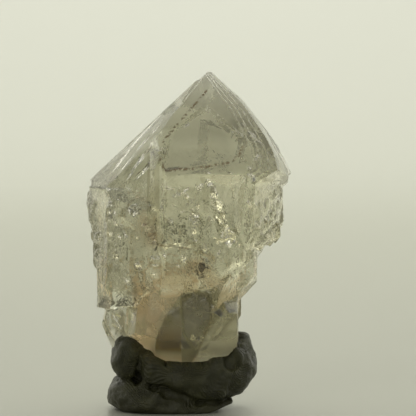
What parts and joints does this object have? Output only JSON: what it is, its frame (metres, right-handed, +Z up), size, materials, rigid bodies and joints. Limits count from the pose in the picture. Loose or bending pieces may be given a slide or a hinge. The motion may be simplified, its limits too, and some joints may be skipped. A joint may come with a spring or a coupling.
{
  "type": "quartz crystal cluster on putty",
  "caption": "Upright cluster of pale smoky quartz with a sunken, stepped end face, pressed into a folded lump of grey mineral putty.",
  "frame": {"origin": "middle of the object's box seen from above, at the flat base of the putty", "axes": "+Z up along the long axes of the crystals, the large sunken end face looks to -Y, +X is to its right"},
  "size_m": [0.034, 0.026, 0.0555],
  "materials": {
    "quartz": "clear pale smoky quartz, smooth end faces and etched flanks",
    "putty": "dark grey-green mineral putty with folds and fingerprint ridges"
  },
  "bodies": {
    "root": {"quartz_cluster": "quartz", "putty_lump": "putty"}
  },
  "joints": []
}
